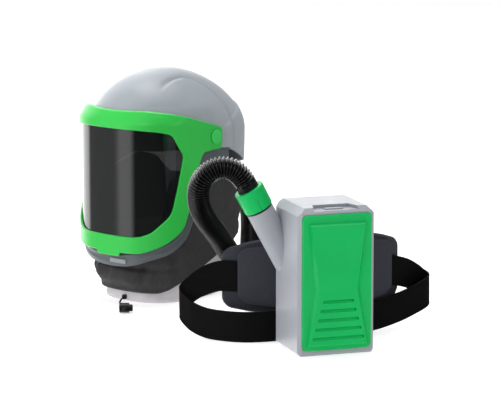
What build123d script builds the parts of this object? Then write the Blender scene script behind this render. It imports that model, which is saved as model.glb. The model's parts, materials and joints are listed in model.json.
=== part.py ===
from build123d import *

import os
from math import copysign, cos, pi, radians, sin, tan

# A powered air respirator: a hard helmet with a lifting visor and a neck shroud, a corrugated
# breathing hose, and a filter blower on a padded waist belt. The blower stands on its base with
# its filter cover facing -Y, the helmet stands behind it. All sizes are in millimetres.
# The origin is the centre of the blower's base.

# Helmet: place and plan outline
HELMET_X = -115.0
HELMET_Y = 497.0
HELMET_TURN = -59.5
HALF_WIDTH = 113.0
FRONT_REACH = 133.0
REAR_REACH = 155.0
FACE_POWER = 2.8
NAPE_POWER = 2.3
CROWN_POWER = 2.2
OVAL_POINTS = 40
PIVOT_Z = 285.0
DOME_RISE = 111.0
FRONT_POWER = 2.3
SIDE_POWER = 1.9
REAR_POWER = 1.7
SHELL_WALL = 3.0
SHELL_BASE_Z = 205.0

# Visor: distances outward from the shell's plan outline
GASKET_IN = 1.0
LENS_IN = 2.0
LENS_OUT = 4.0
FRAME_IN = 4.2
FRAME_OUT = 8.2
FRAME_BASE_Z = 85.0
FRAME_TOP_Z = 342.0
LOBE_RADIUS = 20.5
PIVOT_RADIUS = 5.0
PIVOT_GAP = 0.08
CAP_RADIUS = 12.0

# Neck cloth
SHROUD_WALL = 3.0
BIB_TOP_Z = 120.0

# Blower case
CASE_WIDTH = 127.0
CASE_HEIGHT = 235.0
CASE_FRONT_Y = -57.0
CASE_SPLIT_Y = -18.0
CASE_BACK_Y = 59.0
CASE_WALL = 3.0
COVER_WIDTH = 115.0
COVER_HEIGHT = 215.0
COVER_MID_Z = 117.0
COVER_FRONT_Y = -60.0
COVER_BACK_Y = -54.3
COVER_CORNER = 8.0
RAISED_FRONT_Y = -66.0
HINGE_Y = -58.5
HINGE_Z = 10.1
BEAD_RADIUS = 1.2
LOUVRES = 5
LOUVRE_STEP = 14.6
LOUVRE_LOW_Z = 29.0
LOUVRE_HEIGHT = 5.0

# Fan
FAN_Z = 96.0
SCROLL_RADIUS = 44.0
IMPELLER_RADIUS = 37.0
BLADES = 24
SHAFT_RADIUS = 2.5

# Outlet neck, from the case's left side up to the hose
OUTLET_BASE = (-97.3, 36.0, 224.0)
OUTLET_UP = (-0.4765, 0.0, 0.8792)
NECK_RADIUS = 22.0
SPIGOT_RADIUS = 15.8
CUFF_RADIUS = 17.2
COLLAR_RADIUS = 23.5
COLLAR_BORE = 17.6
COLLAR_HEIGHT = 36.0
CUFF_TOP = 44.0

# Hose: the centre line, from the blower's cuff to the helmet's cuff
HOSE_RADIUS = 18.0
HOSE_ROUTE = [
    (-118.3, 36.0, 262.7),
    (-126.5, 36.0, 277.8),
    (-142.5, 38.0, 289.5),
    (-160.5, 42.0, 291.5),
    (-177.0, 47.5, 283.5),
    (-187.5, 55.0, 268.0),
    (-188.5, 66.0, 247.0),
    (-180.5, 82.0, 222.0),
    (-161.5, 107.0, 196.0),
    (-132.0, 140.0, 165.0),
    (-101.5, 172.0, 127.0),
    (-69.0, 207.0, 88.0),
    (-31.0, 248.0, 53.0),
    (-4.0, 308.0, 30.0),
    (12.0, 372.0, 24.0),
    (26.0, 436.0, 36.0),
    (42.0, 496.0, 64.0),
    (60.0, 545.0, 97.0),
    (72.0, 584.0, 123.0),
    (58.4, 599.2, 154.5),
    (36.6, 586.3, 188.0),
]

# Draw cord: the centre line, from the eyelet at the hem to the cord lock
DRAW_CORD_RADIUS = 1.6
CORD_ROUTE = [
    (-203.3, 445.0, 7.0),
    (-211.5, 437.0, 3.6),
    (-217.5, 421.0, 2.0),
    (-221.0, 402.0, 2.0),
    (-223.5, 383.0, 2.4),
    (-225.5, 369.0, 5.4),
    (-226.3, 358.1, 8.6),
]
LOCK_PLACE = (-229.0, 350.0, 8.6)
LOCK_ACROSS = (0.948, -0.317, 0.0)
LOCK_RADIUS = 8.5

# Belt
PAD_MID_X = 22.0
PAD_RADIUS = 260.0
PAD_CENTRE_Y = 332.0
PAD_THICK = 10.0
PAD_HALF = 158.0
WEB_WIDTH = 50.0
WEB_THICK = 2.5
STRAP_LEFT = [
    (-100.0, 99.9, 101.0),
    (-119.0, 110.9, 102.0),
    (-138.0, 124.2, 100.0),
    (-162.0, 140.0, 88.0),
    (-181.0, 152.0, 70.0),
    (-189.5, 157.0, 60.0),
    (-191.0, 155.0, 52.0),
    (-186.0, 147.0, 43.0),
    (-176.0, 133.0, 33.5),
    (-158.0, 113.0, 26.5),
    (-135.0, 89.0, 25.2),
    (-111.0, 72.0, 25.2),
    (-85.0, 66.0, 25.2),
    (-60.0, 65.5, 25.2),
    (-12.3, 68.0, 25.2),
]
STRAP_RIGHT = [
    (130.0, 93.1, 99.0),
    (149.0, 102.6, 97.0),
    (168.0, 114.3, 92.0),
    (197.0, 137.0, 81.0),
    (221.0, 153.0, 67.0),
    (233.0, 156.0, 58.0),
    (238.5, 148.0, 52.5),
    (231.0, 136.0, 48.0),
    (204.0, 117.5, 42.0),
    (170.0, 99.0, 35.5),
    (130.0, 82.0, 30.0),
    (95.0, 73.0, 26.5),
    (66.0, 69.0, 25.2),
    (52.0, 68.0, 25.2),
]

HELMET = Plane(
    origin=(HELMET_X, HELMET_Y, 0),
    x_dir=(cos(radians(HELMET_TURN)), sin(radians(HELMET_TURN)), 0),
    z_dir=(0, 0, 1),
)


def level(z):
    """A horizontal plane of the helmet, whose -Y is the way the wearer faces."""
    return HELMET.offset(z)


def side(x=0.0):
    """A plane seen from the wearer's left: its X runs to the rear and its Y runs up."""
    return Plane(origin=HELMET.from_local_coords((x, 0, 0)), x_dir=HELMET.y_dir, z_dir=HELMET.x_dir)


def ahead(y=0.0):
    """A plane seen from the wearer's front: its X runs to the wearer's left and its Y runs up."""
    return Plane(origin=HELMET.from_local_coords((0, y, 0)), x_dir=HELMET.x_dir, z_dir=-HELMET.y_dir)


def oval_points(half_width, front, rear, face_power):
    """A full oval, rounder than an ellipse, squarer at the face than at the nape."""
    points = []
    for step in range(OVAL_POINTS):
        turn = 2 * pi * step / OVAL_POINTS
        power = NAPE_POWER if sin(turn) > 0 else face_power
        across = copysign(abs(cos(turn)) ** (2 / power), cos(turn))
        along = copysign(abs(sin(turn)) ** (2 / power), sin(turn))
        reach = rear if along > 0 else front
        points.append((half_width * across, reach * along))
    return points


def oval(half_width, front, rear, mode=Mode.ADD, face_power=FACE_POWER):
    """Adds the oval's face to the open sketch."""
    with BuildLine(mode=Mode.PRIVATE) as edge:
        Spline(*oval_points(half_width, front, rear, face_power), periodic=True)
    make_face(edge.edges(), mode=mode)


def grown_oval(grow, mode=Mode.ADD):
    """The shell's plan outline, grown outward by a distance."""
    oval(HALF_WIDTH + grow, FRONT_REACH + grow, REAR_REACH + grow, mode)


def dome_share(share, power):
    """How wide the dome still is, as a share, at a share of its rise."""
    return (1 - share**power) ** (1 / power)


def wall(grow_in, grow_out, low, high):
    """Adds an upright wall that follows the shell's plan outline."""
    with BuildSketch(level(low), mode=Mode.PRIVATE) as ring:
        grown_oval(grow_out)
        grown_oval(grow_in, Mode.SUBTRACT)
    extrude(ring.sketch, amount=high - low)


def side_cut(outline, mode):
    """Cuts or keeps what a side-view outline covers, through the helmet's whole width."""
    with BuildSketch(side(), mode=Mode.PRIVATE) as profile:
        Polygon(*outline, align=None)
    extrude(profile.sketch, amount=140, both=True, mode=mode)


def dome(grow):
    """The helmet's outer form as one solid, from its rear rim up to the crown."""
    rise = DOME_RISE + grow
    with BuildPart(mode=Mode.PRIVATE) as form:
        with BuildSketch(level(SHELL_BASE_Z)):
            grown_oval(grow - 3)
        with BuildSketch(level(240)):
            grown_oval(grow - 0.6)
        for share in (0, 0.25, 0.48, 0.68, 0.84, 0.94, 0.988):
            face_power = FACE_POWER + (CROWN_POWER - FACE_POWER) * min(2 * share, 1)
            with BuildSketch(level(PIVOT_Z + share * rise)):
                oval(
                    (HALF_WIDTH + grow) * dome_share(share, SIDE_POWER),
                    (FRONT_REACH + grow) * dome_share(share, FRONT_POWER),
                    (REAR_REACH + grow) * dome_share(share, REAR_POWER),
                    face_power=face_power,
                )
        loft()
    return form.part


def save(piece, name):
    """Labels a finished piece and writes its STEP file."""
    piece.part.label = name
    export_step(piece.part, f"parts/{name}.step")


SHELL_RIM = [(-220, 60), (-220, 309), (-64, 309), (-30, 268), (45, 261), (110, 232), (150, 217), (220, 217), (220, 60)]
WINDOW = [(-220, 300), (-104, 299), (-90, 295), (-69, 260), (-89, 161), (-115, 129), (-126, 121), (-220, 121)]
LENS_EDGE = [(-220, 307), (-98, 306), (-83, 301), (-61, 261), (-81, 156), (-110, 120), (-122, 113), (-220, 113)]
GASKET_EDGE = [(-220, 302), (-102, 301), (-88, 298), (-67, 260), (-87, 159), (-114, 126), (-125, 118), (-220, 118)]
FRAME_EDGE = [
    (-220, 342), (-120, 342), (-79, 331), (-31, 315), (0, 305), (0, 264.5), (-24, 266), (-33, 252),
    (-47, 222), (-52, 200), (-62, 152), (-72, 128), (-97, 109), (-116, 99), (-126, 92), (-220, 92),
]
CHIN_EDGE = [
    (-220, 65), (-126, 65), (-118, 78), (-89, 91), (-61, 113), (-47, 141), (-36, 185), (-3, 219),
    (45, 232), (45, 260), (-31, 267), (-64, 307.5), (-70, 306), (-62, 261), (-82, 159), (-110, 121),
    (-122, 114), (-220, 114),
]


def make_helmet_shell():
    """The hard cap, with a pivot hole each side and a notch at the rear for the hose inlet."""
    outer = dome(0)
    inner = dome(-SHELL_WALL)
    with BuildPart() as helmet_shell:
        add(outer)
        add(inner, mode=Mode.SUBTRACT)
        side_cut(SHELL_RIM, Mode.SUBTRACT)
        with BuildSketch(side()):
            with Locations((0, PIVOT_Z)):
                Circle(PIVOT_RADIUS)
        extrude(amount=140, both=True, mode=Mode.SUBTRACT)
        with BuildSketch(ahead(100)):
            with Locations((0, 231)):
                Rectangle(42, 40)
        extrude(amount=-90, mode=Mode.SUBTRACT)
    save(helmet_shell, "helmet_shell")


def make_chin_bar():
    """The fixed lower face ring, from the shell down each cheek and across the chin."""
    with BuildPart() as chin_bar:
        wall(-SHELL_WALL, 0.2, 60, 309)
        side_cut(CHIN_EDGE, Mode.INTERSECT)
    save(chin_bar, "chin_bar")


def make_badge_plate():
    """A blank raised plate at the front of the chin bar."""
    with BuildPart() as badge_plate:
        with BuildSketch(ahead(-FRONT_REACH + 1.2)) as face:
            with Locations((17, 77)):
                Rectangle(36, 7)
            fillet(face.vertices(), 1.5)
        extrude(amount=2.9)
    save(badge_plate, "badge_plate")


def make_visor_frame():
    """The green frame: a wrapped wall with a window, hinge lobes, a brow and a lift tab."""
    under_brow = dome(2)
    with BuildPart() as visor_frame:
        wall(FRAME_IN, FRAME_OUT, FRAME_BASE_Z, FRAME_TOP_Z)
        with BuildSketch(level(FRAME_TOP_Z - 14)):
            grown_oval(FRAME_OUT)
        extrude(amount=14)
        add(under_brow, mode=Mode.SUBTRACT)
        with BuildSketch(side()):
            Polygon(*FRAME_EDGE, align=None)
            with Locations((0, PIVOT_Z)):
                Circle(LOBE_RADIUS)
        extrude(amount=140, both=True, mode=Mode.INTERSECT)
        side_cut(WINDOW, Mode.SUBTRACT)
        with BuildSketch(side()):
            with Locations((0, PIVOT_Z)):
                Circle(PIVOT_RADIUS + PIVOT_GAP)
        extrude(amount=140, both=True, mode=Mode.SUBTRACT)
        with BuildSketch(ahead(-FRONT_REACH - FRAME_IN)):
            with Locations((0, 91)):
                Rectangle(46, 10)
        extrude(amount=5)
    save(visor_frame, "visor_frame")


def make_visor_lens():
    """The clear visor, bent round the face behind the frame."""
    with BuildPart() as visor_lens:
        wall(LENS_IN, LENS_OUT, 100, 320)
        side_cut(LENS_EDGE, Mode.INTERSECT)
    save(visor_lens, "visor_lens")


def make_visor_gasket():
    """The rubber strip on the visor's inside, round the window."""
    with BuildPart() as visor_gasket:
        wall(GASKET_IN, LENS_IN - 0.1, 100, 320)
        side_cut(LENS_EDGE, Mode.INTERSECT)
        side_cut(GASKET_EDGE, Mode.SUBTRACT)
    save(visor_gasket, "visor_gasket")


def make_pivots():
    """The visor's two pivot bolts, held in the shell, and the green caps that cover them."""
    with BuildPart() as pivot_bolts:
        for hand in (1, -1):
            with BuildSketch(side(hand * (HALF_WIDTH - SHELL_WALL - 2.5))):
                with Locations((0, PIVOT_Z)):
                    Circle(8)
            extrude(amount=hand * 2.4)
            with BuildSketch(side(hand * (HALF_WIDTH - SHELL_WALL - 0.2))):
                with Locations((0, PIVOT_Z)):
                    Circle(PIVOT_RADIUS)
            extrude(amount=hand * 11)
    save(pivot_bolts, "pivot_bolts")
    with BuildPart() as pivot_caps:
        for hand in (1, -1):
            with BuildSketch(side(hand * (HALF_WIDTH + FRAME_OUT + 0.1))):
                with Locations((0, PIVOT_Z)):
                    Circle(CAP_RADIUS)
            extrude(amount=hand * 2.6)
        fillet(pivot_caps.edges().filter_by(GeomType.CIRCLE).group_by(SortBy.LENGTH)[-1], 0.8)
    save(pivot_caps, "pivot_caps")


def make_harness():
    """The head harness inside the shell: band, crown straps, brow pad, ratchet and its knob."""
    with BuildPart() as head_band:
        with BuildSketch(level(268)):
            oval(80, 98, 95)
            oval(77.5, 95.5, 92.5, Mode.SUBTRACT)
        extrude(amount=22)
    save(head_band, "head_band")
    with BuildPart() as crown_straps:
        for plane, reach in ((side(), 93.5), (ahead(), 76)):
            with BuildSketch(plane):
                with Locations((0, 290.2)):
                    Ellipse(reach, 72)
                    Ellipse(reach - 2, 70, mode=Mode.SUBTRACT)
                with Locations((0, 190.2)):
                    Rectangle(220, 200, mode=Mode.SUBTRACT)
            extrude(amount=9, both=True)
    save(crown_straps, "crown_straps")
    with BuildPart() as brow_pad:
        with BuildSketch(level(262)):
            oval(77.2, 95.2, 92)
            oval(71, 88, 86, Mode.SUBTRACT)
            with Locations((0, 60)):
                Rectangle(220, 200, mode=Mode.SUBTRACT)
        extrude(amount=27)
    save(brow_pad, "brow_pad")
    with BuildPart() as ratchet_housing:
        with BuildSketch(ahead(95.3)) as back:
            with Locations((0, 279)):
                Rectangle(64, 34)
            fillet(back.vertices(), 10)
        extrude(amount=-11.5)
        with BuildSketch(ahead(107)):
            with Locations((0, 279)):
                Circle(4.08)
        extrude(amount=9, mode=Mode.SUBTRACT)
    save(ratchet_housing, "ratchet_housing")
    with BuildPart() as ratchet_knob:
        with BuildSketch(ahead(107.4)):
            with Locations((0, 279)):
                Circle(16)
                with PolarLocations(16, 18):
                    Circle(1.6, mode=Mode.SUBTRACT)
        extrude(amount=-12)
        with BuildSketch(ahead(99)):
            with Locations((0, 279)):
                Circle(4)
        extrude(amount=-9)
    save(ratchet_knob, "ratchet_knob")


def make_air_path():
    """The hose inlet at the rear of the helmet and the duct that carries air over the head."""
    with BuildPart() as air_duct:
        with BuildSketch(side()):
            with Locations((0, 288)):
                Ellipse(114, 89)
                Ellipse(106, 81, mode=Mode.SUBTRACT)
            with Locations((0, 206)):
                Rectangle(300, 200, mode=Mode.SUBTRACT)
        extrude(amount=20, both=True)
        with BuildSketch(side()):
            with Locations((0, 288)):
                Ellipse(112.5, 87.5)
                Ellipse(107.5, 82.5, mode=Mode.SUBTRACT)
            with Locations((0, 196)):
                Rectangle(300, 200, mode=Mode.SUBTRACT)
        extrude(amount=18.5, both=True, mode=Mode.SUBTRACT)
    save(air_duct, "air_duct")
    with BuildPart() as hose_inlet:
        with BuildSketch(inlet_plane(0)):
            Circle(15)
            Circle(12.6, mode=Mode.SUBTRACT)
        extrude(amount=46)
        with BuildSketch(inlet_plane(18)):
            Circle(17.5)
            Circle(12.6, mode=Mode.SUBTRACT)
        extrude(amount=3)
    save(hose_inlet, "hose_inlet")
    with BuildPart() as hose_cuff_helmet:
        with BuildSketch(inlet_plane(26)):
            Circle(CUFF_RADIUS)
        extrude(amount=26.4)
        with BuildSketch(inlet_plane(26)):
            Circle(15.05)
        extrude(amount=20.3, mode=Mode.SUBTRACT)
    save(hose_cuff_helmet, "hose_cuff_helmet")


def inlet_plane(along):
    """A plane across the helmet's hose inlet, at a distance down it from its inner end."""
    low = Vector(*HOSE_ROUTE[-1])
    down = (HELMET.y_dir * 28 + Vector(0, 0, -37)).normalized()
    return Plane(origin=low - down * (52.4 - along), x_dir=HELMET.x_dir, z_dir=down)


def loft_ovals(sections):
    """Lofts ovals, each given as height, half width, front reach and rear reach."""
    with BuildPart(mode=Mode.PRIVATE) as form:
        for z, half_width, front, rear in sections:
            with BuildSketch(level(z)):
                oval(half_width, front, rear)
        loft()
    return form.part


def make_neck_cloth():
    """The charcoal neck shroud and the white bib inside it, both hollow."""
    outer = [
        (10, 87, 103, 118),
        (35, 94, 111, 126),
        (70, 100, 118, 136),
        (110, 106, 124, 143),
        (150, 108.5, 127.5, 147),
        (235, 109, 128.5, 149),
    ]
    inner = [(z, w - SHROUD_WALL, f - SHROUD_WALL, r - SHROUD_WALL) for z, w, f, r in outer]
    shroud_form = loft_ovals(outer)
    shroud_void = loft_ovals(inner)
    with BuildPart() as neck_shroud:
        add(shroud_form)
        add(shroud_void, mode=Mode.SUBTRACT)
        side_cut(
            [(-220, 300), (-220, 78), (-128, 78), (-116, 90), (-90, 104), (-68, 128), (-52, 165), (-20, 208),
             (45, 234), (75, 222), (96, 192), (220, 178), (220, 300)],
            Mode.SUBTRACT,
        )
        side_cut(
            [(-220, -10), (-220, 14), (-95, 14), (-80, 20), (-45, 42), (32, 78), (90, 98), (220, 110), (220, -10)],
            Mode.SUBTRACT,
        )
    save(neck_shroud, "neck_shroud")
    with BuildPart() as neck_bib:
        with BuildSketch(level(0)):
            oval(83.4, 98.8, 113.0)
            oval(81.0, 96.4, 110.6, Mode.SUBTRACT)
        extrude(amount=BIB_TOP_Z)
    save(neck_bib, "neck_bib")
    with BuildPart() as cord_eyelet:
        with BuildSketch(ahead(-97.5)):
            with Locations((0, 7)):
                Circle(4.5)
        extrude(amount=5)
    save(cord_eyelet, "cord_eyelet")


def arc_radii(route):
    """One radius for each corner: as large as its two runs allow."""
    radii = []
    for before, at, after in zip(route, route[1:], route[2:]):
        run_in = Vector(*at) - Vector(*before)
        run_out = Vector(*after) - Vector(*at)
        half_turn = radians(run_in.get_angle(run_out)) / 2
        radii.append(0.45 * min(run_in.length, run_out.length) / tan(half_turn))
    return radii


def make_tube(route, radius, name):
    """A round cord or hose swept along straight runs and tangent arcs."""
    radii = arc_radii(route)
    with BuildPart() as tube:
        with BuildLine() as path:
            FilletPolyline(*route, radius=radii)
        centre_line = path.wires()[0]
        with BuildSketch(Plane(origin=centre_line @ 0, z_dir=centre_line % 0)):
            Circle(radius)
        sweep()
    length = centre_line.length
    volume_share = tube.part.volume / (pi * radius**2 * length)
    print(name, "length", round(length, 1), "volume share", round(volume_share, 4))
    print(name, "radii", [round(value, 1) for value in radii])
    save(tube, name)


def across_lock(shift):
    """A plane across the cord lock's barrel, at a distance from its middle."""
    return Plane(origin=Vector(*LOCK_PLACE) + Vector(*LOCK_ACROSS) * shift, x_dir=(0, 0, 1), z_dir=LOCK_ACROSS)


def make_cord_lock():
    """The draw cord's lock: a barrel, the sprung button in its end, and the cord's end knot."""
    along = Vector(*LOCK_ACROSS).cross(Vector(0, 0, 1))
    with BuildPart() as cord_lock:
        with BuildSketch(across_lock(-9)):
            Circle(LOCK_RADIUS)
        extrude(amount=17)
        chamfer(cord_lock.edges().filter_by(GeomType.CIRCLE).sort_by(Axis(LOCK_PLACE, LOCK_ACROSS))[0], 1.5)
        with BuildSketch(across_lock(-5)):
            Circle(6.3)
        extrude(amount=14, mode=Mode.SUBTRACT)
        with BuildSketch(Plane(origin=Vector(*LOCK_PLACE), z_dir=along)):
            Circle(2.2)
        extrude(amount=12, both=True, mode=Mode.SUBTRACT)
    save(cord_lock, "cord_lock")
    with BuildPart() as lock_button:
        with BuildSketch(across_lock(2.8)):
            Circle(6)
        extrude(amount=11)
        fillet(lock_button.edges().filter_by(GeomType.CIRCLE).sort_by(Axis(LOCK_PLACE, LOCK_ACROSS))[-1], 2)
    save(lock_button, "lock_button")
    with BuildPart() as cord_knot:
        with BuildSketch(Plane(origin=Vector(*LOCK_PLACE) + along * 8.7, z_dir=along)):
            Circle(2.1)
        extrude(amount=3)
        with Locations(Vector(*LOCK_PLACE) + along * 14.0):
            Sphere(3.8)
    save(cord_knot, "cord_knot")


def outlet_plane(along):
    """A plane across the blower's outlet, at a distance up it from the collar's base."""
    up = Vector(*OUTLET_UP).normalized()
    return Plane(origin=Vector(*OUTLET_BASE) + up * along, x_dir=(0, 1, 0), z_dir=up)


def make_outlet_parts():
    """The seal, the turning green collar and the hose's cuff on the blower's outlet."""
    with BuildPart() as outlet_seal:
        with BuildSketch(outlet_plane(-2.2)):
            Circle(NECK_RADIUS - 0.4)
            Circle(SPIGOT_RADIUS + 0.1, mode=Mode.SUBTRACT)
        extrude(amount=2.2)
    save(outlet_seal, "outlet_seal")
    with BuildPart() as lock_collar:
        with BuildSketch(outlet_plane(0.4)):
            Circle(COLLAR_RADIUS)
        extrude(amount=COLLAR_HEIGHT, taper=-1)
        fillet(lock_collar.edges().filter_by(GeomType.CIRCLE), 1.6)
        with BuildSketch(outlet_plane(0)):
            Circle(COLLAR_BORE)
        extrude(amount=COLLAR_HEIGHT + 2, mode=Mode.SUBTRACT)
        with BuildSketch(outlet_plane(0)):
            with PolarLocations(COLLAR_RADIUS + 1.3, 4):
                Circle(2.2)
        extrude(amount=COLLAR_HEIGHT * 0.55, mode=Mode.SUBTRACT)
    save(lock_collar, "lock_collar")
    with BuildPart() as hose_cuff_blower:
        with BuildSketch(outlet_plane(6)):
            Circle(CUFF_RADIUS)
        extrude(amount=CUFF_TOP - 6)
        with BuildSketch(outlet_plane(6)):
            Circle(SPIGOT_RADIUS + 0.1)
        extrude(amount=20, mode=Mode.SUBTRACT)
    save(hose_cuff_blower, "hose_cuff_blower")


def case_form():
    """The blower's whole outer form: a box with broad bevels all round."""
    half = CASE_WIDTH / 2
    depth = CASE_BACK_Y - CASE_FRONT_Y
    middle = (CASE_BACK_Y + CASE_FRONT_Y) / 2
    with BuildPart(mode=Mode.PRIVATE) as form:
        with BuildSketch(Plane.XZ.offset(-CASE_BACK_Y)) as face:
            with Locations((0, CASE_HEIGHT / 2)):
                Rectangle(CASE_WIDTH, CASE_HEIGHT)
            chamfer(face.vertices().group_by(Axis.Y)[-1], 12)
            chamfer(face.vertices().group_by(Axis.Y)[0], 5)
        extrude(amount=depth)
        with BuildSketch(Plane.XY) as plan:
            with Locations((0, middle)):
                Rectangle(CASE_WIDTH, depth)
            chamfer(plan.vertices().group_by(Axis.Y)[0], 5.5)
            chamfer(plan.vertices().group_by(Axis.Y)[-1], 9)
        extrude(amount=CASE_HEIGHT, mode=Mode.INTERSECT)
        with BuildSketch(Plane.YZ.offset(-half)) as profile:
            with Locations((middle, CASE_HEIGHT / 2)):
                Rectangle(depth, CASE_HEIGHT)
            chamfer(profile.vertices().group_by(Axis.Y)[-1], 8)
            chamfer(profile.vertices().group_by(Axis.Y)[0], 4)
        extrude(amount=CASE_WIDTH, mode=Mode.INTERSECT)
        fillet(form.edges(), 0.8)
    return form.part


def case_void():
    """The room inside the case."""
    with BuildPart(mode=Mode.PRIVATE) as void:
        with BuildSketch(Plane.XY.offset(2 * CASE_WALL)) as plan:
            with Locations((0, 3)):
                Rectangle(CASE_WIDTH - 2 * CASE_WALL, CASE_BACK_Y - CASE_FRONT_Y - 4 * CASE_WALL)
            chamfer(plan.vertices().group_by(Axis.Y)[-1], 8)
        extrude(amount=CASE_HEIGHT - 5 * CASE_WALL)
        chamfer(void.faces().sort_by(Axis.Z)[-1].edges().filter_by(Axis.Y), 9)
    return void.part


SCREW_PLACES = [(-50, 16), (50, 16), (-50, 214), (50, 214)]


def make_blower_case():
    """The rear half of the case with its outlet neck, screw bosses and side holes."""
    form = case_form()
    void = case_void()
    with BuildPart() as blower_case:
        add(form)
        with BuildSketch(outlet_plane(-105)):
            Circle(NECK_RADIUS)
        extrude(amount=105 - 2.4)
        add(void, mode=Mode.SUBTRACT)
        with BuildSketch(outlet_plane(-62)):
            Circle(SPIGOT_RADIUS)
        extrude(amount=62 + 24)
        with BuildSketch(outlet_plane(-62)):
            Circle(SPIGOT_RADIUS - 2.4)
        extrude(amount=100, mode=Mode.SUBTRACT)
        add(void, mode=Mode.SUBTRACT)
        with BuildSketch(Plane.XZ.offset(-CASE_BACK_Y)):
            with Locations(*SCREW_PLACES):
                Circle(4.4)
        extrude(amount=24)
        with BuildSketch(Plane.XZ.offset(-CASE_BACK_Y)):
            with Locations(*SCREW_PLACES):
                Circle(3.4)
        extrude(amount=3, mode=Mode.SUBTRACT)
        with BuildSketch(Plane.XZ.offset(-CASE_BACK_Y)):
            with Locations(*SCREW_PLACES):
                Circle(1.5)
        extrude(amount=20, mode=Mode.SUBTRACT)
        with BuildSketch(Plane.YZ.offset(CASE_WIDTH / 2 - 8)):
            with Locations((20, 180)):
                Circle(8.3)
            with Locations((20, 40)):
                Circle(5)
        extrude(amount=20, mode=Mode.SUBTRACT)
        with Locations((0, CASE_SPLIT_Y - 60, CASE_HEIGHT / 2)):
            Box(200, 120, 300, mode=Mode.SUBTRACT)
    save(blower_case, "blower_case")


def make_blower_front():
    """The front half of the case: a bezel round the filter bay, with a finger recess on top."""
    form = case_form()
    void = case_void()
    with BuildPart() as blower_front:
        add(form)
        add(void, mode=Mode.SUBTRACT)
        with Locations((0, CASE_SPLIT_Y - 0.2 + 60, CASE_HEIGHT / 2)):
            Box(200, 120, 300, mode=Mode.SUBTRACT)
        with BuildSketch(Plane.XZ.offset(-CASE_FRONT_Y + 10)) as pocket:
            with Locations((0, COVER_MID_Z)):
                Rectangle(COVER_WIDTH + 0.8, COVER_HEIGHT + 0.8)
            fillet(pocket.vertices(), COVER_CORNER)
        extrude(amount=-13, mode=Mode.SUBTRACT)
        with BuildSketch(Plane.XZ.offset(-CASE_FRONT_Y + 10)) as bay:
            with Locations((0, COVER_MID_Z)):
                Rectangle(COVER_WIDTH - 8, COVER_HEIGHT - 10)
            fillet(bay.vertices(), COVER_CORNER - 3)
        extrude(amount=-30, mode=Mode.SUBTRACT)
        with BuildSketch(Plane.XY.offset(CASE_HEIGHT - 5)) as recess:
            Polygon((-40, CASE_FRONT_Y - 5), (40, CASE_FRONT_Y - 5), (30, -26), (-30, -26), align=None)
        extrude(amount=10, mode=Mode.SUBTRACT)
        with BuildSketch(Plane.XY.offset(CASE_HEIGHT - 20)):
            with Locations((0, -38)):
                Rectangle(30.8, 12.8)
        extrude(amount=30, mode=Mode.SUBTRACT)
    save(blower_front, "blower_front")


def make_filter_cover():
    """The green filter cover: a plate with a hinge bead, a waisted raised panel and louvre slots."""
    half_outer = ((47, 212), (38, 106), (51, 14))
    half_inner = ((45, 208), (31, 108), (48, 19))
    with BuildPart() as filter_cover:
        with BuildSketch(Plane.XZ.offset(-COVER_BACK_Y)) as plate:
            with Locations((0, COVER_MID_Z)):
                Rectangle(COVER_WIDTH, COVER_HEIGHT)
            fillet(plate.vertices(), COVER_CORNER)
        extrude(amount=COVER_BACK_Y - COVER_FRONT_Y)
        fillet(filter_cover.faces().sort_by(Axis.Y)[0].edges(), 2)
        for y, half in ((COVER_FRONT_Y + 1, half_outer), (RAISED_FRONT_Y, half_inner)):
            with BuildSketch(Plane.XZ.offset(-y)):
                right = list(half)
                left = [(-x, z) for x, z in reversed(right)]
                Polygon(*right, *left, align=None)
        loft(ruled=True)
        with Locations((0, COVER_BACK_Y - 1.5, COVER_MID_Z)):
            Box(COVER_WIDTH - 14, 3, COVER_HEIGHT - 16, mode=Mode.SUBTRACT)
        with BuildSketch(Plane.YZ.offset(-35)):
            with Locations((HINGE_Y, HINGE_Z)):
                Circle(BEAD_RADIUS)
        extrude(amount=70)
        for row in range(LOUVRES):
            with BuildSketch(Plane.XZ.offset(-COVER_BACK_Y)):
                with Locations((0, LOUVRE_LOW_Z + row * LOUVRE_STEP)):
                    SlotOverall(86 - 8.75 * row, LOUVRE_HEIGHT)
            extrude(amount=20, mode=Mode.SUBTRACT)
    save(filter_cover, "filter_cover")


def make_cover_latch():
    """The sliding catch in the top recess that holds the filter cover."""
    with BuildPart() as cover_latch:
        with BuildSketch(Plane.XY.offset(CASE_HEIGHT - 9)):
            with Locations((0, -39.4)):
                Rectangle(30, 9)
        extrude(amount=6)
        chamfer(cover_latch.faces().sort_by(Axis.Z)[-1].edges(), 1)
    save(cover_latch, "cover_latch")
    with BuildPart() as latch_spring:
        for x in (-9, 9):
            with BuildSketch(Plane.XZ.offset(34.6)):
                with Locations((x, CASE_HEIGHT - 7)):
                    Circle(1.6)
            extrude(amount=-2.6)
    save(latch_spring, "latch_spring")


def make_filters():
    """The coarse prefilter, the pleated main filter with its frame, and its gasket."""
    with BuildPart() as prefilter:
        with Locations((0, -51.2, COVER_MID_Z)):
            Box(100, 2.4, 198)
    save(prefilter, "prefilter")
    with BuildPart() as main_filter:
        with Locations((0, -40, COVER_MID_Z - 2)):
            Box(98, 19, 188)
        with Locations((0, -47.5, COVER_MID_Z - 2)):
            Box(92, 6, 182, mode=Mode.SUBTRACT)
        with BuildSketch(Plane.XY.offset(COVER_MID_Z - 93)):
            with GridLocations(6, 1, 15, 1):
                with Locations((0, -46.5)):
                    Rectangle(3, 5)
        extrude(amount=182)
    save(main_filter, "main_filter")
    with BuildPart() as filter_gasket:
        with BuildSketch(Plane.XZ.offset(30.3)):
            with Locations((0, COVER_MID_Z - 2)):
                Rectangle(98, 188)
                Rectangle(88, 178, mode=Mode.SUBTRACT)
        extrude(amount=-3)
    save(filter_gasket, "filter_gasket")


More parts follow.
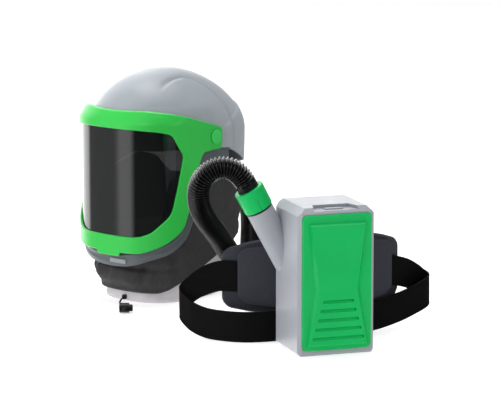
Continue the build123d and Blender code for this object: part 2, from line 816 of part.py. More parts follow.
def make_fan():
    """The fan: scroll housing, impeller with its shaft, and motor."""
    with BuildPart() as fan_scroll:
        with BuildSketch(Plane.XZ.offset(16)):
            with Locations((0, FAN_Z)):
                Circle(SCROLL_RADIUS)
        extrude(amount=-28)
        with BuildSketch(Plane.XZ.offset(14)):
            with Locations((0, FAN_Z)):
                Circle(SCROLL_RADIUS - 2)
        extrude(amount=-24, mode=Mode.SUBTRACT)
        with BuildSketch(Plane.XZ.offset(20)):
            with Locations((0, FAN_Z)):
                Circle(24)
        extrude(amount=-10, mode=Mode.SUBTRACT)
        with BuildSketch(Plane.XZ.offset(20)):
            with Locations((0, FAN_Z)):
                Circle(6)
        extrude(amount=-40, mode=Mode.SUBTRACT)
    save(fan_scroll, "fan_scroll")
    with BuildPart() as impeller:
        with BuildSketch(Plane.XZ.offset(-6)):
            with Locations((0, FAN_Z)):
                Circle(IMPELLER_RADIUS)
        extrude(amount=2)
        with BuildSketch(Plane.XZ.offset(-4.5)):
            with Locations((0, FAN_Z)):
                Circle(8)
        extrude(amount=12)
        with BuildSketch(Plane.XZ.offset(-4.5)):
            with Locations((0, FAN_Z)):
                with PolarLocations(IMPELLER_RADIUS - 7, BLADES):
                    Rectangle(12, 1.4, rotation=25)
        extrude(amount=14)
    save(impeller, "impeller")
    with BuildPart() as motor_shaft:
        with BuildSketch(Plane.XZ.offset(-6.1)):
            with Locations((0, FAN_Z)):
                Circle(SHAFT_RADIUS)
        extrude(amount=-22)
    save(motor_shaft, "motor_shaft")
    with BuildPart() as fan_motor:
        with BuildSketch(Plane.XZ.offset(-12.3)):
            with Locations((0, FAN_Z)):
                Circle(18)
        extrude(amount=-24)
        with BuildSketch(Plane.XZ.offset(-12)):
            with Locations((0, FAN_Z)):
                Circle(SHAFT_RADIUS + 0.08)
        extrude(amount=-18, mode=Mode.SUBTRACT)
    save(fan_motor, "fan_motor")


def make_electrics():
    """Battery, circuit board, charging socket and the sprung power button."""
    with BuildPart() as battery_pack:
        with Locations((0, 20, 28)):
            Box(84, 52, 34)
        fillet(battery_pack.edges(), 2)
    save(battery_pack, "battery_pack")
    with BuildPart() as circuit_board:
        with Locations((14, 10, 178)):
            Box(64, 1.6, 60)
        with Locations((4, 14.2, 186), (30, 13.8, 168)):
            Box(16, 7, 14)
    save(circuit_board, "circuit_board")
    with BuildPart() as charge_socket:
        with BuildSketch(Plane.YZ.offset(CASE_WIDTH / 2 - 12)):
            with Locations((20, 40)):
                Circle(5)
        extrude(amount=12)
        with BuildSketch(Plane.YZ.offset(CASE_WIDTH / 2 - 8)):
            with Locations((20, 40)):
                Circle(2.75)
        extrude(amount=12, mode=Mode.SUBTRACT)
    save(charge_socket, "charge_socket")
    with BuildPart() as power_button:
        with BuildSketch(Plane.YZ.offset(CASE_WIDTH / 2 - 6)):
            with Locations((20, 180)):
                Circle(8)
        extrude(amount=8)
        fillet(power_button.edges().filter_by(GeomType.CIRCLE).sort_by(Axis.X)[-1], 1.2)
    save(power_button, "power_button")


def make_screws():
    """The four case screws and the four screws of the belt bracket."""
    with BuildPart() as case_screws:
        with BuildSketch(Plane.XZ.offset(-CASE_BACK_Y + 0.6)):
            with Locations(*SCREW_PLACES):
                Circle(3.3)
        extrude(amount=2.2)
        with BuildSketch(Plane.XZ.offset(-CASE_BACK_Y + 2.8)):
            with Locations(*SCREW_PLACES):
                Circle(1.4)
        extrude(amount=16)
    save(case_screws, "case_screws")
    with BuildPart() as bracket_screws:
        with BuildSketch(Plane.XZ.offset(-CASE_BACK_Y - 3.4)):
            with Locations((0, 110)):
                with GridLocations(44, 50, 2, 2):
                    Circle(3.4)
        extrude(amount=-2.0)
        with BuildSketch(Plane.XZ.offset(-CASE_BACK_Y - 3.4)):
            with Locations((0, 110)):
                with GridLocations(44, 50, 2, 2):
                    Circle(1.5)
        extrude(amount=5.5)
    save(bracket_screws, "bracket_screws")


def make_belt_bracket():
    """The plate on the back of the blower that carries it on the belt pad."""
    with BuildPart() as belt_bracket:
        with BuildSketch(Plane.XZ.offset(-CASE_BACK_Y - 0.1)) as plate:
            with Locations((0, 110)):
                Rectangle(68, 76)
            fillet(plate.vertices(), 8)
        extrude(amount=-5.5)
        with BuildSketch(Plane.XZ.offset(-CASE_BACK_Y)):
            with Locations((0, 110)):
                with GridLocations(44, 50, 2, 2):
                    Circle(1.6)
        extrude(amount=-10, mode=Mode.SUBTRACT)
        with BuildSketch(Plane.XZ.offset(-CASE_BACK_Y - 3.3)):
            with Locations((0, 110)):
                with GridLocations(44, 50, 2, 2):
                    Circle(3.6)
        extrude(amount=-10, mode=Mode.SUBTRACT)
    save(belt_bracket, "belt_bracket")


def curved_pad(radius_out, radius_in, outline, name):
    """A sheet bent round the wearer's back, cut to a front-view outline."""
    with BuildPart() as sheet:
        with BuildSketch(Plane.XY):
            with Locations((PAD_MID_X, PAD_CENTRE_Y)):
                Circle(radius_out)
                Circle(radius_in, mode=Mode.SUBTRACT)
        extrude(amount=200)
        with BuildSketch(Plane.XZ) as front:
            Polygon(*[(PAD_MID_X + x, z) for x, z in outline], align=None)
            fillet(front.vertices(), 5)
        extrude(amount=-PAD_CENTRE_Y, mode=Mode.INTERSECT)
    save(sheet, name)


def make_belt_pad():
    """The padded back rest of the belt and the panel on it that the webbing runs under."""
    half_pad = [(62, 51), (80, 43), (112, 43), (150, 50), (PAD_HALF, 62), (PAD_HALF, 134), (148, 144)]
    half_pad += [(118, 156), (70, 167)]
    curved_pad(PAD_RADIUS, PAD_RADIUS - PAD_THICK, mirror_outline(half_pad), "belt_pad")
    half_panel = [(84, 54), (118, 58), (131, 70), (131, 138), (122, 147), (60, 157)]
    curved_pad(PAD_RADIUS + 7, PAD_RADIUS + 4, mirror_outline(half_panel), "pad_panel")


def mirror_outline(half):
    """A closed outline from its right half, listed from the bottom up."""
    return half + [(-x, z) for x, z in reversed(half)]


def strap_sections(stations):
    """A plane across the webbing at each station, with its X through the webbing's thickness."""
    last = len(stations) - 1
    planes = []
    for index, place in enumerate(stations):
        before = Vector(*stations[max(index - 1, 0)])
        after = Vector(*stations[min(index + 1, last)])
        onward = Vector(after.X - before.X, after.Y - before.Y, 0).normalized()
        through = onward.cross(Vector(0, 0, 1)).normalized()
        planes.append(Plane(origin=place, x_dir=through, z_dir=onward))
    return planes


def make_strap(stations, name):
    """A flat webbing strap set on edge, through a list of places along its middle."""
    planes = strap_sections(stations)
    with BuildPart() as strap:
        for near, far in zip(planes, planes[1:]):
            with BuildSketch(near):
                Rectangle(WEB_THICK, WEB_WIDTH)
            with BuildSketch(far):
                Rectangle(WEB_THICK, WEB_WIDTH)
            loft(ruled=True)
    print(name, "volume", round(strap.part.volume), "mm3")
    save(strap, name)


def make_buckle():
    """The belt buckle: plug, socket and the sprung button that frees the plug."""
    with BuildPart() as buckle_plug:
        with Locations((-2, 68, 25.2)):
            Box(20, 11, 44)
        fillet(buckle_plug.edges().filter_by(Axis.Y), 2)
        with Locations((16, 68, 25.2)):
            Box(18, 5, 26)
    save(buckle_plug, "buckle_plug")
    with BuildPart() as buckle_socket:
        with Locations((30, 68, 25.2)):
            Box(43.4, 13, 46)
        fillet(buckle_socket.edges().filter_by(Axis.Y), 3)
        with Locations((20, 68, 25.2)):
            Box(30, 5.8, 27, mode=Mode.SUBTRACT)
        with BuildSketch(Plane.XZ.offset(-60)):
            with Locations((27, 25.2)):
                Circle(8.3)
        extrude(amount=-6, mode=Mode.SUBTRACT)
    save(buckle_socket, "buckle_socket")
    with BuildPart() as buckle_button:
        with BuildSketch(Plane.XZ.offset(-60.7)):
            with Locations((27, 25.2)):
                Circle(8)
        extrude(amount=-2)
    save(buckle_button, "buckle_button")


os.makedirs("parts", exist_ok=True)
make_helmet_shell()
make_chin_bar()
make_badge_plate()
make_visor_frame()
make_visor_lens()
make_visor_gasket()
make_pivots()
make_harness()
make_air_path()
make_neck_cloth()
make_tube(CORD_ROUTE, DRAW_CORD_RADIUS, "draw_cord")
make_cord_lock()
make_tube(HOSE_ROUTE, HOSE_RADIUS, "breathing_hose")
make_outlet_parts()
make_blower_case()
make_blower_front()
make_filter_cover()
make_cover_latch()
make_filters()
make_fan()
make_electrics()
make_screws()
make_belt_bracket()
make_belt_pad()
make_strap(STRAP_LEFT, "belt_strap_left")
make_strap(STRAP_RIGHT, "belt_strap_right")
make_buckle()
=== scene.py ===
import json
from bisect import bisect_left, bisect_right
from math import copysign, cos, exp, hypot, pi, radians, sin

import bmesh
import bpy
from mathutils import Matrix, Vector, noise


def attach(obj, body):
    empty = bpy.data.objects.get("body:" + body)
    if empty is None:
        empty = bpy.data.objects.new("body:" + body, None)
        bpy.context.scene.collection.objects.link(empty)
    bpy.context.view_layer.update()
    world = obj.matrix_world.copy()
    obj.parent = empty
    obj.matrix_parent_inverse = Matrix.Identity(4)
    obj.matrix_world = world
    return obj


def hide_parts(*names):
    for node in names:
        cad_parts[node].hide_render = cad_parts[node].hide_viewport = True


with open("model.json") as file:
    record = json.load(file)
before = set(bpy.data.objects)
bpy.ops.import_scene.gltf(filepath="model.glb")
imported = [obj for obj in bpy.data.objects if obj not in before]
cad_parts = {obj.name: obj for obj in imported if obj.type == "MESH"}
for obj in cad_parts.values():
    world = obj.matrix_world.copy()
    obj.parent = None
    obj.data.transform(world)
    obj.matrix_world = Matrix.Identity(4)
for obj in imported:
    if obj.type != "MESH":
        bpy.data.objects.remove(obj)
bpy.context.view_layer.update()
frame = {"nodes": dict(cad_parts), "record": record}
NODES = frame["nodes"]
MM = 0.001
ROOT = "respirator"

# ---------------------------------------------------------------- helmet frame (lengths in mm)

HELMET = Matrix.Translation((-115, 497, 0)) @ Matrix.Rotation(radians(-59.5), 4, "Z")
# The plan's half width, and its reach to the face and to the nape
HALF, FRONT, REAR = 113.0, 133.0, 155.0
# Superellipse powers of the plan: at the face, at the nape and near the crown
FACE_POWER, NAPE_POWER, CROWN_POWER = 2.8, 2.3, 2.2
PIVOT_Z = 285.0
DOME_RISE = 111.0
# Powers of the dome's three profiles: across, to the front and to the rear
DOME_POWERS = (1.9, 2.3, 1.7)
PLAN_STEPS = 1440


def plan(turn, grow=0.0, shares=(1.0, 1.0, 1.0), face_power=FACE_POWER):
    """The shell's plan outline: turn is 0 at the face and grows to the wearer's left."""
    s, c = sin(turn), cos(turn)
    power = face_power if c > 0 else NAPE_POWER
    x = copysign(abs(s) ** (2 / power), s) * (HALF + grow) * shares[0]
    reach = (FRONT + grow) * shares[1] if c > 0 else (REAR + grow) * shares[2]
    return x, -copysign(abs(c) ** (2 / power), c) * reach


OUTLINE = [plan(pi * step / PLAN_STEPS) for step in range(PLAN_STEPS + 1)]
ARC = [0.0]
for a, b in zip(OUTLINE, OUTLINE[1:]):
    ARC.append(ARC[-1] + hypot(b[0] - a[0], b[1] - a[1]))
REACHES = [y for x, y in OUTLINE]


def turn_at(s):
    """The outline's turn at an arc length from the middle of the face."""
    wanted = min(abs(s), ARC[-1])
    low = min(bisect_right(ARC, wanted), PLAN_STEPS) - 1
    high = low + 1
    part = (wanted - ARC[low]) / max(ARC[high] - ARC[low], 1e-9)
    return copysign(pi * (low + part) / PLAN_STEPS, s)


def arc_at(y):
    """The arc length, on the wearer's left, where the outline has this local y."""
    return ARC[min(bisect_left(REACHES, y), PLAN_STEPS)]


def wrap(s, z, grow):
    """A point of the helmet's wall at an arc length and a height, at a distance outward."""
    x, y = plan(turn_at(s), grow)
    return HELMET @ Vector((x, y, z))


# ---------------------------------------------------------------- meshes


def new_piece(name, points, faces, body, material, uvs=None, smooth=True):
    """A mesh object from points in mm, riding on a body."""
    mesh = bpy.data.meshes.new(name)
    mesh.from_pydata([tuple(Vector(p) * MM) for p in points], [], faces)
    mesh.validate()
    if uvs:
        layer = mesh.uv_layers.new(name="UVMap")
        layer.data.foreach_set("uv", [value for corners in uvs for corner in corners for value in corner])
    mesh.polygons.foreach_set("use_smooth", [smooth] * len(mesh.polygons))
    obj = bpy.data.objects.new(name, mesh)
    bpy.context.scene.collection.objects.link(obj)
    obj.data.materials.append(material)
    tidy = bmesh.new()
    tidy.from_mesh(mesh)
    bmesh.ops.recalc_face_normals(tidy, faces=tidy.faces)
    tidy.to_mesh(mesh)
    tidy.free()
    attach(obj, body)
    return obj


def grid(rows, ring_rows=False, ring_columns=False):
    """Points and quads of a grid; a ring closes on itself."""
    count, width = len(rows), len(rows[0])
    points = [p for row in rows for p in row]
    faces, uvs = [], []
    for i in range(count if ring_rows else count - 1):
        for j in range(width if ring_columns else width - 1):
            k, m = (i + 1) % count, (j + 1) % width
            faces.append((i * width + j, i * width + m, k * width + m, k * width + j))
            uvs.append(((j, i), (j + 1, i), (j + 1, i + 1), (j, i + 1)))
    return points, faces, uvs


def scaled(uvs, across, along):
    """Grid corner numbers turned into metres."""
    return [tuple((u * across, v * along) for u, v in corners) for corners in uvs]


def subdivide(obj):
    """Replaces an object's mesh with one level of its subdivision surface."""
    modifier = obj.modifiers.new("smooth", "SUBSURF")
    modifier.levels = modifier.render_levels = 1
    bpy.context.view_layer.update()
    graph = bpy.context.evaluated_depsgraph_get()
    mesh = bpy.data.meshes.new_from_object(obj.evaluated_get(graph))
    obj.modifiers.clear()
    obj.data = mesh


def resample(points, count):
    """Evenly spaced points along a polyline."""
    points = [Vector(p) for p in points]
    lengths = [0.0]
    for a, b in zip(points, points[1:]):
        lengths.append(lengths[-1] + (b - a).length)
    out, seg = [], 0
    for k in range(count):
        want = lengths[-1] * k / (count - 1)
        while seg < len(points) - 2 and lengths[seg + 1] < want:
            seg += 1
        span = max(lengths[seg + 1] - lengths[seg], 1e-9)
        out.append(points[seg].lerp(points[seg + 1], min(max((want - lengths[seg]) / span, 0), 1)))
    return out


def rounded(corners, closed=False, steps=7):
    """A polyline with its corners rounded; each corner is x, y and radius."""
    out = []
    count = len(corners)
    for i, (x, y, radius) in enumerate(corners):
        at = Vector((x, y))
        if radius <= 0 or (not closed and i in (0, count - 1)):
            out.append(at)
            continue
        before = Vector(corners[i - 1][:2]) - at
        after = Vector(corners[(i + 1) % count][:2]) - at
        reach = min(radius, before.length * 0.48, after.length * 0.48)
        start, end = at + before.normalized() * reach, at + after.normalized() * reach
        for k in range(steps + 1):
            t = k / steps
            out.append(start * (1 - t) ** 2 + at * 2 * t * (1 - t) + end * t**2)
    return out


# ---------------------------------------------------------------- materials


class Shader:
    """Builds one procedural material from its nodes."""

    def __init__(self, name, color, rough, **values):
        self.material = bpy.data.materials.new(name)
        self.material.use_nodes = True
        self.tree = self.material.node_tree
        self.surface = self.tree.nodes["Principled BSDF"]
        self.color, self.rough = color, rough
        self.surface.inputs["Base Color"].default_value = (*color, 1)
        self.surface.inputs["Roughness"].default_value = rough
        for key, value in values.items():
            self.surface.inputs[key.replace("_", " ")].default_value = value
        self.height = None
        self.place = self.add("ShaderNodeTexCoord").outputs["Object"]
        self.flat = self.add("ShaderNodeTexCoord").outputs["UV"]

    def add(self, kind, **settings):
        node = self.tree.nodes.new(kind)
        for key, value in settings.items():
            setattr(node, key, value)
        return node

    def link(self, a, b):
        self.tree.links.new(a, b)

    def noise(self, scale, detail, rough=0.55):
        node = self.add("ShaderNodeTexNoise")
        node.inputs["Scale"].default_value = scale
        node.inputs["Detail"].default_value = detail
        node.inputs["Roughness"].default_value = rough
        self.link(self.place, node.inputs["Vector"])
        return node.outputs["Fac"]

    def spread(self, value, low, high, start=0.3, end=0.7):
        node = self.add("ShaderNodeMapRange")
        for key, number in (("From Min", start), ("From Max", end), ("To Min", low), ("To Max", high)):
            node.inputs[key].default_value = number
        self.link(value, node.inputs["Value"])
        return node.outputs["Result"]

    def math(self, operation, a, b=None):
        node = self.add("ShaderNodeMath", operation=operation)
        for socket, value in zip(node.inputs, (a, b)):
            if isinstance(value, (int, float)):
                socket.default_value = value
            elif value is not None:
                self.link(value, socket)
        return node.outputs[0]

    def mottle(self, value, dark, light, start=0.3, end=0.7):
        """Varies the base colour between a darker and a lighter tone."""
        mix = self.add("ShaderNodeMix", data_type="RGBA")
        self.link(self.spread(value, 0, 1, start, end), mix.inputs["Factor"])
        mix.inputs["A"].default_value = (*[min(c * dark, 1) for c in self.color], 1)
        mix.inputs["B"].default_value = (*[min(c * light, 1) for c in self.color], 1)
        self.link(mix.outputs["Result"], self.surface.inputs["Base Color"])

    def worn(self, value, amount):
        """Varies the roughness round its middle value."""
        low, high = max(self.rough - amount, 0.02), min(self.rough + amount, 1)
        self.link(self.spread(value, low, high), self.surface.inputs["Roughness"])

    def raise_by(self, value, distance, strength):
        """Adds a bump of a height in metres."""
        bump = self.add("ShaderNodeBump")
        bump.inputs["Strength"].default_value = strength
        bump.inputs["Distance"].default_value = distance
        self.link(value, bump.inputs["Height"])
        if self.height:
            self.link(self.height, bump.inputs["Normal"])
        self.height = bump.outputs["Normal"]
        self.link(self.height, self.surface.inputs["Normal"])

    def weave(self, pitch, place):
        """A plain weave of crossed threads, as a height from 0 to 1."""
        split = self.add("ShaderNodeSeparateXYZ")
        self.link(place, split.inputs[0])
        waves = []
        for axis in ("X", "Y"):
            turned = self.math("MULTIPLY", split.outputs[axis], 2 * pi / pitch)
            waves.append(self.math("SINE", turned))
        return self.math("ABSOLUTE", self.math("MULTIPLY", waves[0], waves[1]))


def plastic(name, color, rough, grain=0.00004, **values):
    """Moulded plastic: a fine spark texture, slow tone changes and a little wear."""
    s = Shader(name, color, rough, **values)
    s.mottle(s.noise(9, 3), 0.94, 1.05)
    s.worn(s.noise(28, 5), 0.06)
    s.raise_by(s.noise(1500, 2), grain, 0.6)
    s.raise_by(s.noise(14, 2), 0.0004, 0.12)
    return s.material


def rubber(name, color, rough, **values):
    """Satin rubber with small uneven patches."""
    s = Shader(name, color, rough, **values)
    s.mottle(s.noise(40, 4), 0.8, 1.35)
    s.worn(s.noise(60, 5), 0.08)
    s.raise_by(s.noise(900, 3), 0.00003, 0.5)
    return s.material


def hose_material():
    """Smooth glossy rubber, so that each rib keeps its own clean highlight."""
    s = Shader("hose_rubber", (0.0025, 0.0025, 0.0025), 0.24, Specular_IOR_Level=0.42)
    s.mottle(s.noise(40, 4), 0.8, 1.35)
    return s.material


def cloth(name, color, rough, pitch, depth, flecks, uv=True, **values):
    """Woven cloth with flecks and soft creases; uv says whether the weave follows the mesh's UVs."""
    s = Shader(name, color, rough, **values)
    place = s.flat if uv else s.place
    s.mottle(s.noise(900, 3, 0.7), 1 - flecks, 1 + flecks, 0.35, 0.65)
    s.worn(s.noise(300, 3), 0.06)
    s.raise_by(s.weave(pitch, place), depth, 0.7)
    s.raise_by(s.noise(90, 4), 0.0004, 0.35)
    return s.material


def metal(name, color, rough):
    """Bare metal with a fine, uneven grain."""
    s = Shader(name, color, rough, Metallic=1.0)
    s.mottle(s.noise(200, 3), 0.85, 1.1)
    s.worn(s.noise(700, 4), 0.1)
    s.raise_by(s.noise(1800, 2), 0.00002, 0.5)
    return s.material


def lens_with_painted_shade():
    """The clear lens drawn as a nearly opaque near-black sheet, painted shade for the dark inside seen
    through it, faintly rippled.
    """
    # Painted shade: near-black base colour at alpha 0.86 hides the helmet's inside behind the clear visor
    s = Shader("clear_lens", (0.006, 0.007, 0.007), 0.06, Alpha=0.86, IOR=1.58, Specular_IOR_Level=0.6)
    s.worn(s.noise(45, 4), 0.02)
    s.raise_by(s.noise(7, 2), 0.0012, 0.05)
    return s.material


MATS = {
    "shell_grey": plastic("shell_grey", (0.33, 0.36, 0.39), 0.38, Specular_IOR_Level=0.3),
    "dark_grey": plastic("dark_grey", (0.098, 0.113, 0.122), 0.42, Specular_IOR_Level=0.4),
    "badge_grey": plastic("badge_grey", (0.26, 0.28, 0.29), 0.45),
    "green": plastic("green", (0.028, 0.51, 0.066), 0.34, Specular_IOR_Level=0.35),
    "cover_green": plastic("cover_green", (0.0, 0.47, 0.105), 0.33, Specular_IOR_Level=0.3),
    "bright_green": plastic("bright_green", (0.035, 0.60, 0.10), 0.3),
    # The lens material paints the shade seen through the clear visor as a dark, mostly opaque colour
    "clear_lens": lens_with_painted_shade(),
    "black_rubber": rubber("black_rubber", (0.006, 0.006, 0.006), 0.42, Specular_IOR_Level=0.35),
    "hose_rubber": hose_material(),
    "steel": metal("steel", (0.55, 0.55, 0.56), 0.3),
    "aluminium": metal("aluminium", (0.65, 0.65, 0.67), 0.35),
    "black_plastic": plastic("black_plastic", (0.008, 0.008, 0.009), 0.4, Specular_IOR_Level=0.35),
    "strap_fabric": cloth("strap_fabric", (0.02, 0.02, 0.022), 0.85, 0.002, 0.0003, 0.3, uv=False),
    "foam": cloth("foam", (0.02, 0.02, 0.023), 0.9, 0.003, 0.0002, 0.4, uv=False),
    "charcoal_fabric": cloth(
        "charcoal_fabric", (0.046, 0.045, 0.046), 0.8, 0.0016, 0.00025, 0.35, Specular_IOR_Level=0.2,
    ),
    "white_fabric": cloth(
        "white_fabric", (0.66, 0.63, 0.665), 0.85, 0.0014, 0.0002, 0.05, Specular_IOR_Level=0.2,
    ),
    "cord_fabric": cloth("cord_fabric", (0.008, 0.008, 0.008), 0.8, 0.001, 0.0002, 0.4, uv=False),
    "case_grey": plastic("case_grey", (0.345, 0.36, 0.395), 0.40, Specular_IOR_Level=0.25),
    "board_green": plastic("board_green", (0.01, 0.14, 0.05), 0.5),
    "pad_fabric": cloth(
        "pad_fabric", (0.038, 0.041, 0.052), 0.78, 0.0018, 0.00022, 0.2, Specular_IOR_Level=0.2,
    ),
    "webbing": cloth(
        "webbing", (0.0045, 0.004, 0.0045), 0.8, 0.0026, 0.0005, 0.35, Specular_IOR_Level=0.12,
    ),
}
for part in frame["record"]["subparts"]:
    node = NODES[part["node"]]
    node.data.materials.clear()
    node.data.materials.append(MATS[part["material_slot"]])
# These two are a bluer green than the visor frame
for name in ("lock_collar", "filter_cover"):
    NODES[name].data.materials.clear()
    NODES[name].data.materials.append(MATS["cover_green"])

# ---------------------------------------------------------------- cords

HOSE_ROUTE = [
    (-0.1183, 0.036, 0.2627), (-0.1265, 0.036, 0.2778), (-0.1425, 0.038, 0.2895), (-0.1605, 0.042, 0.2915),
    (-0.177, 0.0475, 0.2835), (-0.1875, 0.055, 0.268), (-0.1885, 0.066, 0.247), (-0.1805, 0.082, 0.222),
    (-0.1615, 0.107, 0.196), (-0.132, 0.140, 0.165), (-0.1015, 0.172, 0.127), (-0.069, 0.207, 0.088),
    (-0.031, 0.248, 0.053), (-0.004, 0.308, 0.030), (0.012, 0.372, 0.024), (0.026, 0.436, 0.036),
    (0.042, 0.496, 0.064), (0.060, 0.545, 0.097), (0.072, 0.584, 0.123), (0.0584, 0.5992, 0.1545),
    (0.0366, 0.5863, 0.188),
]
DRAW_ROUTE = [
    (-0.2033, 0.445, 0.007), (-0.2115, 0.437, 0.0036), (-0.2175, 0.421, 0.002), (-0.221, 0.402, 0.002),
    (-0.2235, 0.383, 0.0024), (-0.2255, 0.369, 0.0054), (-0.2263, 0.3581, 0.0086),
]


def smooth_line(route):
    """Points read from the NURBS spline that a route's points control."""
    curve = bpy.data.curves.new("line", "CURVE")
    curve.dimensions = "3D"
    spline = curve.splines.new("NURBS")
    spline.points.add(len(route) - 1)
    for point, place in zip(spline.points, route):
        point.co = (*place, 1)
    spline.order_u = 3
    spline.use_endpoint_u = True
    spline.resolution_u = 24
    holder = bpy.data.objects.new("line", curve)
    mesh = bpy.data.meshes.new_from_object(holder)
    points = [v.co.copy() / MM for v in mesh.vertices]
    bpy.data.objects.remove(holder)
    bpy.data.meshes.remove(mesh)
    if (points[0] - Vector(route[0]) / MM).length > (points[-1] - Vector(route[0]) / MM).length:
        points.reverse()
    return points


def line_length(points):
    return sum((b - a).length for a, b in zip(points, points[1:]))


def tube_rows(points, radius_at, around):
    """Rings round a line, turned as little as possible from one to the next."""
    rows, length = [], 0.0
    onward = (points[1] - points[0]).normalized()
    side = onward.cross(Vector((0, 1, 0.2))).normalized()
    for i, at in enumerate(points):
        ahead = (points[min(i + 1, len(points) - 1)] - points[max(i - 1, 0)]).normalized()
        side = (side - ahead * side.dot(ahead)).normalized()
        up = ahead.cross(side)
        if i:
            length += (at - points[i - 1]).length
        radius = radius_at(length)
        turns = [2 * pi * k / around for k in range(around)]
        rows.append([at + (side * cos(turn) + up * sin(turn)) * radius for turn in turns])
    return rows


def cap_ends(points, faces, uvs, around):
    """Closes a grid's first and last row of points with one face each."""
    faces += [tuple(range(around)), tuple(range(len(points) - around, len(points)))]
    uvs += [tuple((0, 0) for _ in range(around))] * 2


def make_hose():
    """The corrugated hose: rounded ribs with narrow valleys between them, and plain ends."""
    line = smooth_line(HOSE_ROUTE)
    length = line_length(line)
    pitch, per_rib, around = 4.55, 8, 56
    plain_end, plain_radius = 5, 17.3
    valley_radius, rib_rise = 14.2, 3.8
    line = resample(line, int(length / pitch) * per_rib + 1)

    def radius_at(along):
        if along < plain_end or along > length - plain_end:
            return plain_radius
        phase = ((along - plain_end) / pitch) % 1.0
        rise = 0.5 - 0.5 * cos(2 * pi * phase)
        return valley_radius + rib_rise * rise**0.6

    rows = tube_rows(line, radius_at, around)
    points, faces, uvs = grid(rows, ring_columns=True)
    cap_ends(points, faces, uvs, around)
    hose = new_piece("corrugated_hose", points, faces, ROOT, MATS["hose_rubber"], uvs)
    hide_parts("breathing_hose")


def make_draw_cord():
    """The braided draw cord from the eyelet at the hem to its lock."""
    line = smooth_line(DRAW_ROUTE)
    line = resample(line, 121)
    around, radius, strands, lead = 20, 1.6, 3, 0.9
    rows = tube_rows(line, lambda along: radius, around)
    for i, (at, row) in enumerate(zip(line, rows)):
        for k, p in enumerate(row):
            turn = 2 * pi * k * strands / around
            braid = sin(i * lead + turn) * sin(i * lead - turn)
            row[k] = at + (p - at) * (0.96 + 0.09 * braid)
    points, faces, uvs = grid(rows, ring_columns=True)
    cap_ends(points, faces, uvs, around)
    piece = new_piece("braided_cord", points, faces, ROOT, MATS["cord_fabric"], uvs)
    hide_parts("draw_cord")


# ---------------------------------------------------------------- helmet pieces

# The shell's lower edge in side view: local y and height
RIM = [(-220, 309), (-64, 309), (-30, 268), (45, 261), (110, 232), (150, 217), (220, 217)]


def height_on(outline, y):
    """The height of a side-view outline at a local y."""
    for (y0, z0), (y1, z1) in zip(outline, outline[1:]):
        if y <= y1:
            return z0 + (z1 - z0) * (y - y0) / (y1 - y0)
    return outline[-1][1]


def step_up(value, width):
    """0 below zero, 1 above the width, and smooth between."""
    t = min(max(value / width, 0.0), 1.0)
    return t * t * (3 - 2 * t)


def shell_point(turn, z, grow):
    """A point of the hard shell's plain surface, which draws in below the pivots."""
    if z > PIVOT_Z:
        share = min((z - PIVOT_Z) / (DOME_RISE + grow), 1.0)
        shares = [(1 - share**p) ** (1 / p) for p in DOME_POWERS]
        power = FACE_POWER + (CROWN_POWER - FACE_POWER) * min(2 * share, 1)
        x, y = plan(turn, grow, shares, power)
    else:
        x, y = plan(turn, grow - 2.0 * ((PIVOT_Z - z) / 80) ** 1.5)
    return Vector((x, y, z))


def make_shell():
    """The hard shell: a full double-walled dome with a stepped crown and a creased nape."""
    around, up, wall = 300, 120, 3
    top = PIVOT_Z + DOME_RISE
    outer, inner = [], []
    for k in range(up + 1):
        share = k / up
        lift = sin(share * pi / 2) ** 0.92 if share < 1 else 1.0
        rows = ([], [])
        for j in range(around):
            turn = -pi + 2 * pi * j / around
            base = height_on(RIM, plan(turn)[1])
            z = base + (top - 0.05 - base) * lift
            p = shell_point(turn, z, 0)
            q = shell_point(turn, min(z, top - wall - 0.2), -wall)
            outward = Vector((p.x / HALF, p.y / FRONT, max(p.z - PIVOT_Z, 0) / DOME_RISE)).normalized()
            shift = relief(p) * outward
            p += shift
            q += shift
            rows[0].append(HELMET @ p)
            rows[1].append(HELMET @ q)
        outer.append(rows[0])
        inner.append(rows[1])
    points, faces, uvs = grid(inner[::-1] + outer, ring_columns=True)
    close_ring(points, faces, uvs, len(inner) + len(outer), around)
    shell = new_piece("shell_dome", points, faces, ROOT, MATS["shell_grey"], uvs)
    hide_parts("helmet_shell")


def close_ring(points, faces, uvs, rows, around):
    """Closes the first and last ring of a grid with a fan each."""
    for row in (0, rows - 1):
        middle = sum((points[row * around + j] for j in range(around)), Vector()) / around
        points.append(middle)
        hub = len(points) - 1
        for j in range(around):
            faces.append((row * around + j, row * around + (j + 1) % around, hub))
            uvs.append(((0, 0), (0, 0), (0, 0)))


# The front panel's edge in plan: local y and distance from the middle
CREASE = [
    (-100, 66), (-69, 60), (-52, 57), (-34, 55), (-9, 55), (3, 60), (12, 66.5), (21, 75), (31, 84),
    (39.5, 91), (46.5, 97), (50, 102), (52, 108), (53, 125),
]
PANEL_STEP, NAPE_STEP, NAPE_Y = 4.2, 2.6, 28


def relief(p):
    """How far the shell's surface stands out at a local point, in mm.

    The crown and the back lie lower than the front panel. Its edge runs back along the crown and
    down behind each pivot, with a groove beside it. A second panel stands out low at the nape.
    """
    across = abs(p.x)
    gap, inside = 1e9, False
    for (y0, x0), (y1, x1) in zip(CREASE, CREASE[1:]):
        dy, dx = y1 - y0, x1 - x0
        t = min(max(((p.y - y0) * dy + (across - x0) * dx) / (dy * dy + dx * dx), 0), 1)
        near = hypot(p.y - y0 - t * dy, across - x0 - t * dx)
        if near < gap:
            gap = near
            inside = (p.y - y0) * dx - (across - x0) * dy > 0
    height = PANEL_STEP * step_up((p.y + 75) / 45, 1)
    clear = max(step_up((p.z - 316) / 22, 1), step_up((p.y - 20) / 10, 1))
    groove = exp(-(((gap - 4.5) / 5.0) ** 2))
    out = height * (-0.25 - 0.75 * groove if inside else 0.6 * clear) * step_up(gap / 2.4, 1)
    if p.y > NAPE_Y:
        line = 300 + (p.y - 31) * 0.35
        out += NAPE_STEP * step_up((line - p.z) / 4, 1) * step_up((p.y - NAPE_Y) / 10, 1)
    return out


EDGE_STOPS = (0.0, 0.12, 0.32, 0.62, 1.0, 1.5)


